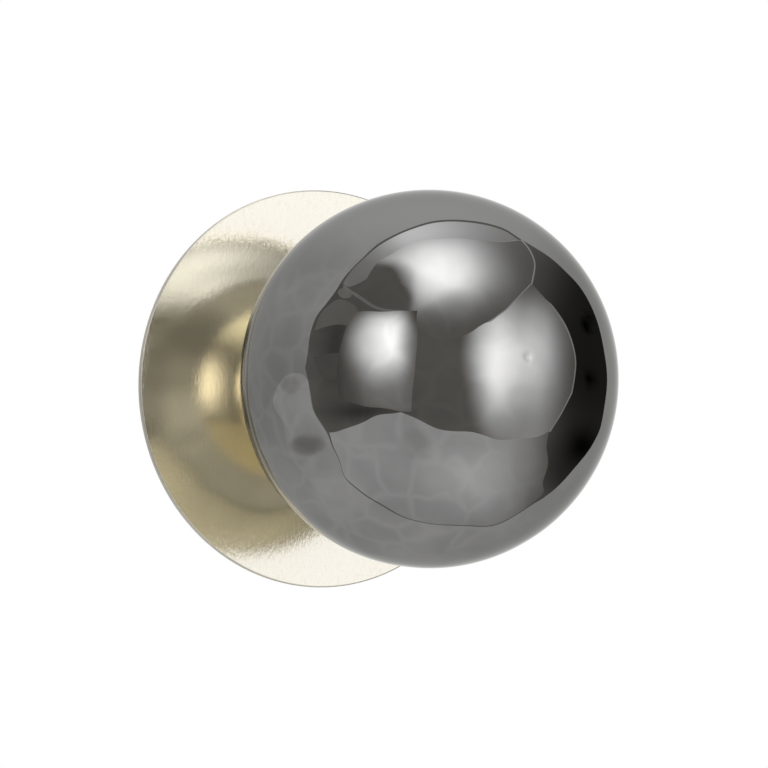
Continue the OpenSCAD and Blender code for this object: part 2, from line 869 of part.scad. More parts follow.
// The bulb's outline from its neck to its crown, taken in by an inset
function bulb_outline(inset) =
    let (neck = bulb_neck_r - inset, reach = bulb_join[1] - bulb_cap_top,
        out = [sin(bulb_join_angle), cos(bulb_join_angle)],
        join = bulb_join - inset * out,
        slope = [cos(bulb_join_angle), -sin(bulb_join_angle)],
        flare = reach * bulb_flare_share)
    concat([[neck, bulb_neck_level]],
        [for (i = [0 : curve_steps])
            bezier([neck, bulb_cap_top], [neck, bulb_cap_top + flare],
                join + flare * slope, join, i / curve_steps)],
        [for (i = [1 : curve_steps])
            let (angle = bulb_join_angle * (1 - i / curve_steps))
            [(bulb_r - inset) * sin(angle), bulb_centre + (bulb_r - inset) * cos(angle)]]);

module bulb_glass() {
    outer = bulb_outline(0);
    inner = bulb_outline(bulb_wall);
    color("lightyellow") outward()
    rotate_extrude()
        polygon(concat(outer, [for (i = [len(inner) - 1 : -1 : 0]) inner[i]]));
}

module bulb_cap() {
    crests = [for (i = [0 : cap_thread_turns - 1])
        let (low = bulb_cap_level + i * cap_thread_pitch)
        each [[cap_root_r, low + cap_thread_pitch / 4], [cap_crest_r, low + cap_thread_pitch / 2],
            [cap_root_r, low + cap_thread_pitch * 3 / 4]]];
    color("silver") outward()
    rotate_extrude()
        polygon(concat([[cap_inner_r, bulb_cap_level], [cap_root_r, bulb_cap_level]], crests,
            [[cap_root_r, collar_level], [cap_root_r, bulb_cap_top], [cap_inner_r, bulb_cap_top]]));
}

module bulb_insulator() {
    color("black") outward()
    translate([0, 0, insulator_level])
        cylinder(r1 = tip_d / 2, r2 = cap_root_r, h = insulator_h);
}

module bulb_contact() {
    color("silver") outward()
    translate([0, 0, bulb_tip])
        cylinder(r1 = tip_d / 2 - tip_h, r2 = tip_d / 2, h = tip_h);
}

module bulb_stem() {
    foot_r = bulb_neck_r - bulb_wall - fit_gap;
    color("azure") outward() {
        disc(stem_d / 2, stem_foot_level, stem_top);
        translate([0, 0, stem_foot_level])
            cylinder(r1 = foot_r, r2 = stem_d / 2, h = stem_foot_h);
    }
}

// The leads run from the stem to both ends of every filament
module bulb_leads() {
    color("silver") outward() {
        disc(lead_d / 2, stem_top, filament_top + lead_d);
        for (i = [0 : filament_count - 1])
            rotate([0, 0, full_turn * i / filament_count]) {
                lead(0, filament_top + lead_d / 2);
                lead(stem_d / 2, filament_low - lead_d / 2);
            }
    }
}

module lead(start, level) {
    translate([start, 0, level])
        rotate([0, quarter_turn, 0])
            cylinder(r = lead_d / 2, h = filament_offset - start);
}

module bulb_filaments() {
    color("gold") outward()
    for (i = [0 : filament_count - 1])
        rotate([0, 0, full_turn * i / filament_count])
            translate([filament_offset, 0, 0])
                disc(filament_d / 2, filament_low, filament_top);
}

wall_bracket();
cable_bush();
earth_screw();
earth_washer();
rear_housing();
housing_screws();
housing_nuts();
wall_plate();
plate_studs();
stud_nuts();
threaded_tube();
tube_nut();
tube_washer();
earth_tag();
globe_holder();
holder_nut();
socket_cap();
socket_core();
socket_skirt();
screw_shell();
centre_contact();
wire_posts();
terminal_block();
terminal_inserts();
terminal_screws();
block_screws();
live_wire();
neutral_wire();
earth_wire();
bulb_glass();
bulb_cap();
bulb_insulator();
bulb_contact();
bulb_stem();
bulb_leads();
bulb_filaments();
neck_gasket();
glass_globe();
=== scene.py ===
import math

import bmesh
import bpy
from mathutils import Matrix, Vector


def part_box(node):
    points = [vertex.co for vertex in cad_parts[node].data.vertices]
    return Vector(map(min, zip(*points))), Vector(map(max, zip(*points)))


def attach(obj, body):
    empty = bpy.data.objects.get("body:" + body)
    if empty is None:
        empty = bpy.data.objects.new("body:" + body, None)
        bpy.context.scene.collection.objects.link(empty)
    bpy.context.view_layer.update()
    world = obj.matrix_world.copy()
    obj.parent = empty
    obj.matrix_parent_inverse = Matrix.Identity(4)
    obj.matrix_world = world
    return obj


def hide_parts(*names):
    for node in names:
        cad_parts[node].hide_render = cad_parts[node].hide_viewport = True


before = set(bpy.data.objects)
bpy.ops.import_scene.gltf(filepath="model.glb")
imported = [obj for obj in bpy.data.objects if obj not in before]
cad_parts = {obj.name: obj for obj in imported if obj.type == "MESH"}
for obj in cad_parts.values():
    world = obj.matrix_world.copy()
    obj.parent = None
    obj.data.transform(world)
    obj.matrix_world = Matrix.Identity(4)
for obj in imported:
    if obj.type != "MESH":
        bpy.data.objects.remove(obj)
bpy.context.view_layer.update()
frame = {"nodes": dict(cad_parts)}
nodes = frame["nodes"]
scene = bpy.context.scene
mm = 0.001
print("frame loaded,", len(nodes), "nodes")


# What the globe and the plate measure, read from the frame
globeLow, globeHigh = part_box("glass_globe")
globeRadius = (globeHigh.x - globeLow.x) / 2
globeCentre = Vector((0, globeLow.y + globeRadius, 0))
neckEnd = globeHigh.y
plateLow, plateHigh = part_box("wall_plate")
plateFace = plateLow.y
plateRadius = (plateHigh.x - plateLow.x) / 2


# Camera
shot = {
    "azimuth": -28.1,  # degrees, the viewer stands to the left of the axis
    "elevation": -2.7,  # and a little below it
    "distance": 1.2,
    "framePx": 768,
    "focalPx": 2165,
    "centrePx": (375, 383.8),  # where the lens axis meets the picture
    "sensor": 36,  # mm
}

azimuth = math.radians(shot["azimuth"])
elevation = math.radians(shot["elevation"])
towardCamera = Vector((
    math.sin(azimuth) * math.cos(elevation),
    -math.cos(azimuth) * math.cos(elevation),
    math.sin(elevation),
))
rightward = Vector((math.cos(azimuth), math.sin(azimuth), 0))
upward = rightward.cross(-towardCamera)
lookAt = Vector((0, (plateFace + globeCentre.y) / 2, 0))
cameraPlace = lookAt + towardCamera * shot["distance"]


def placeCamera():
    lens = bpy.data.cameras.new("viewLens")
    lens.sensor_width = shot["sensor"]
    lens.lens = shot["sensor"] * shot["focalPx"] / shot["framePx"]
    middle = shot["framePx"] / 2
    lens.shift_x = (middle - shot["centrePx"][0]) / shot["framePx"]
    lens.shift_y = (shot["centrePx"][1] - middle) / shot["framePx"]
    camera = bpy.data.objects.new("viewCamera", lens)
    scene.collection.objects.link(camera)
    camera.location = cameraPlace
    camera.rotation_mode = "QUATERNION"
    camera.rotation_quaternion = (-towardCamera).to_track_quat("-Z", "Y")
    scene.camera = camera


placeCamera()
scene.view_settings.view_transform = "Standard"
print("camera placed")


# Adds a node to a tree; a socket given as an input is linked, anything else is its value
def addNode(tree, kind, inputs=None, **settings):
    made = tree.nodes.new(kind)
    for name, value in settings.items():
        setattr(made, name, value)
    for name, value in (inputs or {}).items():
        socket = made.inputs[name]
        if isinstance(value, bpy.types.NodeSocket):
            tree.links.new(value, socket)
        else:
            socket.default_value = value
    return made


# The nodes that the trees use most, each given back as its result
def mathNode(tree, operation, *values):
    return addNode(tree, "ShaderNodeMath", dict(enumerate(values)), operation=operation).outputs[0]


def vectorNode(tree, operation, *values):
    made = addNode(tree, "ShaderNodeVectorMath", dict(enumerate(values)), operation=operation)
    return made.outputs["Value" if operation in ("DOT_PRODUCT", "LENGTH", "DISTANCE") else "Vector"]


def spanNode(tree, value, fromMin, fromMax, toMin=0.0, toMax=1.0, soft=False):
    return addNode(tree, "ShaderNodeMapRange", {
        "Value": value, "From Min": fromMin, "From Max": fromMax, "To Min": toMin, "To Max": toMax,
    }, interpolation_type="SMOOTHSTEP" if soft else "LINEAR").outputs["Result"]


def colourNode(tree, share, first, second):
    return addNode(tree, "ShaderNodeMix", {0: share, 6: first, 7: second}, data_type="RGBA").outputs[2]


def noiseNode(tree, place, scale, detail, roughness=0.5):
    return addNode(tree, "ShaderNodeTexNoise", {
        "Vector": place, "Scale": scale, "Detail": detail, "Roughness": roughness}).outputs["Fac"]


def stretched(tree, place, scale):
    return addNode(tree, "ShaderNodeMapping", {"Vector": place, "Scale": scale}).outputs["Vector"]


def onePart(tree, vector, axis):
    return addNode(tree, "ShaderNodeSeparateXYZ", {0: vector}).outputs[axis]


# How far each point of a surface is from the light's axis
def axisReach(tree, place):
    return vectorNode(tree, "LENGTH", vectorNode(tree, "MULTIPLY", place, (1, 0, 1)))


# One where two mirrors have shown the thing, as the plate shows what the globe mirrors
def secondMirror(tree):
    return mathNode(tree, "GREATER_THAN", addNode(tree, "ShaderNodeLightPath").outputs["Glossy Depth"], 1.5)


def opaque(colour):
    return (*colour, 1)


def newFinish(name):
    finish = bpy.data.materials.new(name)
    finish.use_nodes = True
    return finish, finish.node_tree, finish.node_tree.nodes["Principled BSDF"]


def meshObject(name, points, faces, finish):
    mesh = bpy.data.meshes.new(name)
    mesh.from_pydata([tuple(p) for p in points], [], faces)
    mesh.materials.append(finish)
    made = bpy.data.objects.new(name, mesh)
    scene.collection.objects.link(made)
    return made


# Studio: softboxes and a dark room that only the reflections show, in front of a white backdrop.
# Their outlines run smoothly through the pixels of the photograph at which the globe mirrors
# them; a corner is written twice. A glow is a soft spot: its centre, its reach to the left,
# right, up and down, its strength and its shape. No part of a card is darker than its least.
# First is how the globe shows a card, and second how the plate shows the globe's image of it.
globePx = {"centre": (429.3, 379.2), "radius": 189.2}

plainCard = {"least": 0.1, "glows": [], "firstGlows": [], "secondGlows": [], "secondShare": 1.0,
             "secondTint": (1.0, 1.0, 1.0)}

studioCards = {
    "topBox": {
        "outlinePx": [(388, 256), (388, 256), (410, 244), (440, 238), (470, 239), (500, 242), (521, 240),
                      (521, 240), (529, 250), (534, 264), (532, 283), (532, 283), (516, 297), (488, 322),
                      (466, 334), (440, 338), (418, 330), (408, 309), (392, 304), (376, 297), (365, 287),
                      (368, 273), (378, 262)],
        "reach": 0.9,
        "middlePx": (450, 275),
        "edge": 0.34,
        "least": 0.33,
        "glows": [((440, 273), (54, 47, 36, 28), 4.2, 2.3)],
        "firstGlows": [((394, 284), (36, 22, 20, 27), -2.4, 4)],
        "frame": {"fromPx": 488, "glow": 1.0, "widthPx": 1.3},
        "secondGlows": [((441, 273), (34, 40, 26, 24), -1.3, 2), ((386, 262), (24, 24, 22, 26), 1.0, 2)],
        "secondShare": 1.3,
        "secondTint": (1.0, 1.08, 1.3),
    },
    "leftBox": {
        "outlinePx": [(356, 312), (356, 312), (385, 309.5), (418, 311), (418, 311), (415, 360), (411, 412),
                      (411, 412), (400, 412), (370, 408), (338, 400), (338, 400), (337, 370), (345, 328)],
        "reach": 0.87,
        "middlePx": (380, 350),
        "edge": 0.15,
        "glows": [((398, 396), (40, 30, 50, 30), 0.5, 2), ((373, 366), (16, 14, 30, 24), 0.6, 2)],
        "firstGlows": [((391, 337), (31, 17, 26, 31), 4.4, 2.7)],
        "secondGlows": [((378, 360), (30, 21, 36, 36), 5.5, 2.4)],
        "secondShare": 1.3,
        "secondTint": (1.0, 1.06, 1.35),
    },
    "rightBox": {
        "outlinePx": [(532, 283), (532, 283), (555, 311), (568, 334), (575, 362), (571, 392), (571, 392),
                      (551, 432), (551, 432), (538, 437), (516, 439), (490, 437), (466, 428), (450, 388),
                      (450, 350), (466, 326), (490, 314), (513, 300)],
        "reach": 0.93,
        "middlePx": (515, 360),
        "edge": 0.24,
        "least": 0.33,
        "glows": [((497, 356), (21, 26, 52, 56), 3.7, 2.4), ((536, 352), (18, 23, 44, 54), 2.1, 2.2),
                  ((528, 446), (32, 34, 32, 30), 0.55, 2)],
        "frame": {"fromPx": 550.5, "glow": 0.8, "widthPx": 1.3},
        "secondShare": 1.3,
    },
    "floorCard": {
        "outlinePx": [(328, 431), (328, 431), (372, 419), (400, 413), (400, 413), (433, 425), (462, 433),
                      (496, 437), (530, 436), (550, 433), (550, 433), (548, 446), (549, 462), (543, 482),
                      (539, 499), (500, 522), (470, 525.2), (425, 522.2), (400, 515.2), (377.5, 502.2),
                      (357, 487), (344, 475), (333, 451)],
        "reach": 1.0,
        "middlePx": (450, 475),
        "edge": 0.08,
        "least": 0.05,
        "glows": [((460, 462), (300, 86, 160, 90), 1.0, 4), ((482, 476), (38, 26, 32, 32), 0.33, 2),
                  ((415, 443), (17, 17, 16, 16), -0.14, 6), ((447, 470), (28, 28, 24, 24), 0.09, 6)],
        "secondGlows": [((380, 452), (40, 50, 30, 36), 0.4, 2)],
        "secondShare": 1.35,
        "secondTint": (1.0, 0.97, 0.82),
    },
    "ceilingCard": {
        "outlinePx": [(343, 283), (343, 283), (356, 268), (378, 246), (400, 234), (420, 227), (440, 223),
                      (460, 222), (485, 225), (505, 231), (519, 240), (519, 240), (490, 243), (440, 241),
                      (412, 247), (392, 256), (376, 270), (352, 285)],
        "reach": 1.2,
        "middlePx": (400, 240),
        "edge": 0.6,
        "glows": [((412, 236), (36, 66, 30, 30), 1.4, 2)],
        "secondGlows": [((380, 250), (34, 34, 24, 26), 3.2, 2)],
        "secondTint": (1.0, 1.08, 1.3),
    },
    "beam": {
        "outlinePx": [(344, 284), (344, 284), (366, 298), (385, 306.5), (403, 310), (403, 310), (403, 312.5),
                      (403, 312.5), (384, 309), (365, 301.5), (343, 287), (343, 287)],
        "reach": 1.1,
        "middlePx": (375, 303.5),
        "edge": 0.56,
    },
    "knob": {
        "outlinePx": [(337, 293), (340, 288.5), (347, 288), (352, 292), (350, 297), (342, 298)],
        "reach": 1.12,
        "middlePx": (345, 293),
        "edge": 0.5,
    },
    "shelf": {
        "outlinePx": [(316, 331), (316, 331), (323, 313), (336, 300), (351, 303), (359, 313), (355, 329),
                      (355, 329), (340, 325), (327, 326)],
        "reach": 1.15,
        "middlePx": (339, 313),
        "edge": 0.39,
    },
    "lowShelf": {
        "outlinePx": [(312, 357), (312, 357), (328, 352), (345, 355), (348, 372), (348, 372), (336, 381),
                      (321, 377)],
        "reach": 1.15,
        "middlePx": (331, 366),
        "edge": 0.24,
    },
    "sideCard": {
        "outlinePx": [(272, 398), (278, 382), (288, 374), (302, 373), (308, 381), (308, 381), (310, 395),
                      (314, 411), (323, 431), (331, 452), (331, 468), (318, 468), (297, 461), (287, 449),
                      (283, 425), (275, 412)],
        "reach": 1.6,
        "middlePx": (303, 425),
        "edge": 0.96,
        "glows": [((308, 445), (18, 17, 10, 10), -0.38, 6), ((291, 385), (10, 10, 10, 9), -0.2, 6)],
        "secondShare": 1.5,
    },
    "darkRoom": {
        "outlinePx": [(305, 368), (305, 368), (309, 350), (317, 320), (341, 282), (355, 267), (377, 244),
                      (400, 232), (420, 225), (440, 221), (460, 220), (485, 223), (505, 229), (521, 239),
                      (548, 256), (566, 272), (582, 290), (595, 315), (603, 345), (607, 380), (602, 420),
                      (595, 440), (580, 463), (557, 487), (541, 500), (541, 500), (500, 523), (470, 526),
                      (425, 523), (400, 516), (377, 503), (356, 488), (344, 476), (332, 451), (325, 430),
                      (315, 411), (310, 390)],
        "reach": 2.4,
        "middlePx": (460, 370),
        "edge": 0.33,
        "least": 0.0,
        "glows": [((604, 360), (72, 70, 160, 96), -0.29, 5), ((335, 350), (18, 18, 60, 50), -0.18, 2),
                  ((572, 470), (34, 40, 40, 40), -0.25, 3), ((362, 411), (36, 34, 9, 9), -0.2, 2),
                  ((587, 323), (3, 3, 7, 7), -0.1, 2), ((591, 379), (3, 3, 7, 7), -0.1, 2)],
        "secondGlows": [((326, 378), (26, 30, 36, 44), 0.5, 2), ((350, 308), (44, 34, 28, 28), -0.33, 3)],
    },
}

cardMesh = {
    "rings": 24,
    "sideSteps": 5,
    "colour": (1.0, 1.0, 1.0),
    "dimColour": (1.04, 1.0, 0.92),
    "whiteFrom": (0.3, 1.0),  # the brightness over which the dim colour turns white
}


# The point of the globe that the camera sees through a pixel
def globePoint(pixel):
    centre, radius = globePx["centre"], globePx["radius"]
    across, up = pixel[0] - centre[0], centre[1] - pixel[1]
    inside = min(1, radius * 0.998 / max(math.hypot(across, up), 1))  # just within the globe's edge
    right = centre[0] + across * inside - shot["centrePx"][0]
    above = shot["centrePx"][1] - centre[1] + up * inside
    view = (rightward * right + upward * above - towardCamera * shot["focalPx"]).normalized()
    offset = cameraPlace - globeCentre
    along = -offset.dot(view)
    reach = along - math.sqrt(max(along * along - offset.length_squared + globeRadius ** 2, 0))
    return cameraPlace + view * reach


# The direction in which the globe mirrors the camera's ray through a pixel, and where it starts
def mirroredRay(pixel):
    start = globePoint(pixel)
    normal = (start - globeCentre).normalized()
    view = (start - cameraPlace).normalized()
    return start, view - normal * 2 * view.dot(normal)


# Where that ray meets a sphere about the globe
def mirroredPoint(pixel, reach):
    start, direction = mirroredRay(pixel)
    offset = start - globeCentre
    along = offset.dot(direction)
    return start + direction * (math.sqrt(along * along - offset.length_squared + reach * reach) - along)


def between(a, b, share):
    return (a[0] + (b[0] - a[0]) * share, a[1] + (b[1] - a[1]) * share)


# A closed curve through the corners, as a Catmull-Rom spline
def smoothOutline(corners, steps):
    count = len(corners)
    curve = []
    for i in range(count):
        a, b, c, d = (corners[(i + k) % count] for k in (-1, 0, 1, 2))
        if b == c:
            continue
        for k in range(steps):
            t = k / steps
            weights = (-t + 2 * t ** 2 - t ** 3, 2 - 5 * t ** 2 + 3 * t ** 3,
                       t + 4 * t ** 2 - 3 * t ** 3, t ** 3 - t ** 2)
            curve.append([sum(w * p[axis] for w, p in zip(weights, (a, b, c, d))) / 2 for axis in (0, 1)])
    return curve


def cardGlow(card, pixel, extra):
    glow = card["edge"]
    for centre, (left, right, up, down), strength, shape in card["glows"] + card[extra]:
        across, below = pixel[0] - centre[0], pixel[1] - centre[1]
        width = left if across < 0 else right
        height = up if below < 0 else down
        glow += strength * math.exp(-math.hypot(across / width, below / height) ** shape)
    return max(glow, card["least"])


# The bright edge of a softbox's frame, just outside its outline
def framePixel(card, pixel):
    frame = card["frame"]
    if pixel[0] < frame["fromPx"]:
        return pixel
    away = math.dist(card["middlePx"], pixel)
    return between(card["middlePx"], pixel, 1 + frame["widthPx"] / away)


# A light that takes its strength and its colour from the card
def glowFinish():
    finish, tree, _ = newFinish("cardGlow")
    tree.nodes.clear()
    first, second, tint = (addNode(tree, "ShaderNodeAttribute", attribute_name=name).outputs
                           for name in ("glow", "secondGlow", "secondTint"))
    later = secondMirror(tree)
    level = addNode(tree, "ShaderNodeMix", {0: later, 2: first["Fac"], 3: second["Fac"]}).outputs[0]
    white = spanNode(tree, level, *cardMesh["whiteFrom"])
    colour = colourNode(tree, white, opaque(cardMesh["dimColour"]), opaque(cardMesh["colour"]))
    colour = colourNode(tree, later, colour, tint["Color"])
    glow = addNode(tree, "ShaderNodeEmission", {"Color": colour, "Strength": level})
    addNode(tree, "ShaderNodeOutputMaterial", {"Surface": glow.outputs["Emission"]})
    return finish


# Seen only in mirrors, so it lights nothing by itself
def hideFromView(thing):
    thing.visible_camera = False
    thing.visible_diffuse = False
    thing.visible_transmission = False
    thing.visible_shadow = False


# The middle of a sheet and the rings of spots about it, out to its rim
def sheetSpots(middle, rim, rings):
    spots = [middle]
    for ring in range(1, rings + 1):
        spots += [between(middle, pixel, ring / rings) for pixel in rim]
    return spots


# The faces between a sheet's middle and its rings of count spots
def sheetFaces(count, rings):
    faces = [(0, 1 + i, 1 + (i + 1) % count) for i in range(count)]
    for ring in range(rings - 1):
        for i in range(count):
            a, b = 1 + ring * count + i, 1 + ring * count + (i + 1) % count
            faces.append((a, a + count, b + count, b))
    return faces


# A curved sheet on a sphere about the globe, so that no card cuts through another
def buildCard(name, card, finish):
    rings = cardMesh["rings"]
    rim = smoothOutline(card["outlinePx"], cardMesh["sideSteps"])
    spots = sheetSpots(card["middlePx"], rim, rings)
    glows = [cardGlow(card, spot, "firstGlows") for spot in spots]
    seconds = [cardGlow(card, spot, "secondGlows") * card["secondShare"] for spot in spots]
    if "frame" in card:
        outer = [framePixel(card, pixel) for pixel in rim]
        framed = [card["frame"]["glow"] if spot != pixel else glow
                  for spot, pixel, glow in zip(outer, rim, glows[-len(rim):])]
        spots += rim + outer
        glows += framed + framed
        seconds += framed + framed
        rings += 2
    points = [mirroredPoint(spot, card["reach"]) for spot in spots]
    sheet = meshObject(name, points, sheetFaces(len(rim), rings), finish)
    for label, values in (("glow", glows), ("secondGlow", seconds)):
        level = sheet.data.attributes.new(label, "FLOAT", "POINT")
        level.data.foreach_set("value", values)
    tint = sheet.data.attributes.new("secondTint", "FLOAT_VECTOR", "POINT")
    tint.data.foreach_set("vector", card["secondTint"] * len(points))
    hideFromView(sheet)


# A cool white in the blurred mirror of the plate, and clear to the sharp mirror of the glass
plateScreen = {
    "outlinePx": [(470, 320), (515, 300), (560, 320), (570, 362), (560, 405), (515, 425), (470, 405),
                  (455, 362)],
    "middlePx": (514, 362),
    "reach": 0.8,
    "rings": 4,
    "colour": (1.02, 1.11, 1.5),
}


def buildPlateScreen():
    finish, tree, _ = newFinish("plateScreenCloth")
    tree.nodes.clear()
    sharp = addNode(tree, "ShaderNodeLightPath").outputs["Is Singular Ray"]
    clear = addNode(tree, "ShaderNodeBsdfTransparent").outputs["BSDF"]
    white = addNode(tree, "ShaderNodeEmission", {"Color": opaque(plateScreen["colour"]), "Strength": 1.0})
    pick = addNode(tree, "ShaderNodeMixShader", {0: sharp, 1: white.outputs["Emission"], 2: clear})
    addNode(tree, "ShaderNodeOutputMaterial", {"Surface": pick.outputs[0]})
    rim, rings = plateScreen["outlinePx"], plateScreen["rings"]
    spots = sheetSpots(plateScreen["middlePx"], rim, rings)
    points = [mirroredPoint(spot, plateScreen["reach"]) for spot in spots]
    hideFromView(meshObject("plateScreen", points, sheetFaces(len(rim), rings), finish))


floorPlan = {
    "level": -0.36,
    "width": 1.7,
    "depth": 1.5,
    "back": 0.25,  # behind the wall plane
    "colour": (0.9, 0.9, 0.89),
    "rough": 0.8,
}


backdrop = {
    "lamp": 0.75,  # its strength as a lamp, where nothing looks at it
    "mirrored": 0.92,
    "mirroredColour": (1.0, 0.997, 0.985),
    "towardRight": 0.22,
    "towardFloorOrCeiling": 0.36,
    "spotFrom": 0.9,  # how far a spot reaches, as the cosine from its middle
    "highLeft": -rightward * 0.45 + upward * 0.72 - towardCamera * 0.53,  # a brighter spot behind the light
    "highLeftMore": 0.6,
    "streak": mirroredRay((322, 288))[1],  # a darker spot that shows only by way of two mirrors
    "streakLess": 0.8,
}


# White wherever the camera or glass looks past the object, and near white in mirrors
def whiteBackdrop():
    world = bpy.data.worlds.new("paleStudio")
    scene.world = world
    world.use_nodes = True
    tree = world.node_tree
    path = addNode(tree, "ShaderNodeLightPath").outputs
    way = addNode(tree, "ShaderNodeTexCoord").outputs["Generated"]

    def spot(middle, strength):
        near = vectorNode(tree, "DOT_PRODUCT", way, middle)
        return spanNode(tree, near, backdrop["spotFrom"], 1.0, 0.0, strength, soft=True)

    right = vectorNode(tree, "DOT_PRODUCT", way, rightward)
    rise = mathNode(tree, "ABSOLUTE", onePart(tree, way, "Z"))
    mirrored = mathNode(tree, "MULTIPLY_ADD", right, backdrop["towardRight"], backdrop["mirrored"])
    mirrored = mathNode(tree, "MULTIPLY_ADD", rise, backdrop["towardFloorOrCeiling"], mirrored)
    mirrored = mathNode(tree, "ADD", mirrored, spot(backdrop["highLeft"], backdrop["highLeftMore"]))
    mirrored = mathNode(tree, "MINIMUM", mirrored, 1.0)
    streak = mathNode(tree, "MULTIPLY", spot(backdrop["streak"], backdrop["streakLess"]), secondMirror(tree))
    mirrored = mathNode(tree, "SUBTRACT", mirrored, streak)
    seen = mathNode(tree, "MAXIMUM", path["Is Camera Ray"], path["Is Transmission Ray"])
    level = spanNode(tree, seen, 0.0, 1.0, backdrop["lamp"], 1.0)
    strength = addNode(tree, "ShaderNodeMix", {0: path["Is Glossy Ray"], 2: level, 3: mirrored}).outputs[0]
    shade = colourNode(tree, path["Is Glossy Ray"], (1, 1, 1, 1), opaque(backdrop["mirroredColour"]))
    back = tree.nodes["Background"]
    tree.links.new(shade, back.inputs["Color"])
    tree.links.new(strength, back.inputs["Strength"])


# Mirrors and glass look through the floor to the backdrop; the camera sees it with its shadow
def buildFloor():
    finish, _, shader = newFinish("paleFloor")
    shader.inputs["Base Color"].default_value = opaque(floorPlan["colour"])
    shader.inputs["Roughness"].default_value = floorPlan["rough"]
    half, back, level = floorPlan["width"] / 2, floorPlan["back"], floorPlan["level"]
    front = back - floorPlan["depth"]
    corners = [(-half, front, level), (half, front, level), (half, back, level), (-half, back, level)]
    floor = meshObject("studioFloor", corners, [(0, 1, 2, 3)], finish)
    floor.visible_glossy = False
    floor.visible_transmission = False


lamps = {
    "keyLamp": {"place": (-0.9, -1.3, 1.1), "size": 0.8, "power": 14},
    "fillLamp": {"place": (1.2, -0.6, 0.5), "size": 0.9, "power": 7},
    "rearLamp": {"place": (-0.4, 1.0, 0.8), "size": 0.9, "power": 5},
}


def hangLamps():
    for name, lamp in lamps.items():
        light = bpy.data.lights.new(name, "AREA")
        light.size = lamp["size"]
        light.energy = lamp["power"]
        hung = bpy.data.objects.new(name, light)
        scene.collection.objects.link(hung)
        hung.location = lamp["place"]
        hung.rotation_mode = "QUATERNION"
        hung.rotation_quaternion = (lookAt - Vector(lamp["place"])).to_track_quat("-Z", "Y")
        hung.visible_glossy = False


cardCloth = glowFinish()
for cardName, studioCard in studioCards.items():
    buildCard(cardName, {**plainCard, **studioCard}, cardCloth)
buildPlateScreen()
whiteBackdrop()
buildFloor()
hangLamps()
print("studio built")


# Rings about the light's axis, as a lathe or a spinning tool leaves them
def spunRings(tree, place, pitch):
    run = mathNode(tree, "ADD", axisReach(tree, place), onePart(tree, place, "Y"))
    return mathNode(tree, "SINE", mathNode(tree, "MULTIPLY", run, 2 * math.pi / pitch))


# Finishes. Each surface has its own grain, tone change, roughness change and bump.
grainLook = {
    "toneDetail": 4.0,
    "toneRough": 0.6,
    "grainDetail": 3.0,
    "grainRough": 0.55,
    "grainSpan": (0.3, 0.7),  # where most of the grain's values lie
    "ringHeight": 0.6,
    "bumpDepth": 0.3,  # of the grain's size
}


def plainFinish(name, look):
    finish, tree, shader = newFinish(name)
    shader.inputs["Metallic"].default_value = look.get("metallic", 0.0)
    for socket, value in look.get("sockets", {}).items():
        shader.inputs[socket].default_value = value
    place = addNode(tree, "ShaderNodeTexCoord").outputs["Object"]
    laid = stretched(tree, place, look.get("stretch", (1, 1, 1)))
    tone = noiseNode(tree, laid, 1 / look["toneSize"], grainLook["toneDetail"], grainLook["toneRough"])
    colour = colourNode(tree, tone, opaque(look["colour"]), opaque(look["tone"]))
    tree.links.new(colour, shader.inputs["Base Color"])
    grain = noiseNode(tree, laid, 1 / look["grainSize"], grainLook["grainDetail"], grainLook["grainRough"])
    rough = spanNode(tree, grain, *grainLook["grainSpan"], *look["rough"])
    tree.links.new(rough, shader.inputs["Roughness"])
    height = grain
    if "ringPitch" in look:
        rings = spunRings(tree, place, look["ringPitch"])
        height = mathNode(tree, "MULTIPLY_ADD", rings, grainLook["ringHeight"], grain)
    bump = addNode(tree, "ShaderNodeBump", {
        "Height": height, "Strength": look["bump"], "Distance": look["grainSize"] * grainLook["bumpDepth"]})
    tree.links.new(bump.outputs["Normal"], shader.inputs["Normal"])
    return finish, tree, shader


plateLook = {
    "colour": (0.95, 0.855, 0.6),
    "tone": (0.92, 0.81, 0.53),
    "rim": (0.40, 0.38, 0.33),
    "rimRough": 0.35,
    "rimWidth": 0.9 * mm,
    "rimEdge": 0.36 * mm,  # the width over which the dull rim sets in
    "metallic": 0.89,
    "toneSize": 0.05,
    "grainSize": 1.5 * mm,
    "stretch": (1, 1, 0.45),
    "rough": (0.10, 0.16),
    "bump": 0.12,
    "pitted": (0.72, 0.62, 0.43),
    "pitsPerGrain": 1.3,
    "pitDetail": 2.0,
    "pitSpan": (0.5, 0.68),
    "pitFrom": 0.7,  # of the plate's radius
    "pitShare": 0.2,
    "backDark": (0.68, 0.60, 0.40),
    "backLight": (0.80, 0.71, 0.48),
    "backLines": 0.8 * mm,
    "backStretch": (1, 1, 0.025),
    "backDetail": 4.0,
    "cloudDetail": 5.0,
    "backSpan": (0.7, 1.3),
    "backRough": 0.36,
    "backSkin": 0.3 * mm,
}


# Mixes a value into what already feeds a socket
def mixInto(tree, socket, share, value):
    source = socket.links[0].from_socket
    kind, first, result = ("RGBA", 6, 2) if socket.type == "RGBA" else ("FLOAT", 2, 0)
    mixed = addNode(tree, "ShaderNodeMix", {0: share, first: source, first + 1: value}, data_type=kind)
    tree.links.new(mixed.outputs[result], socket)


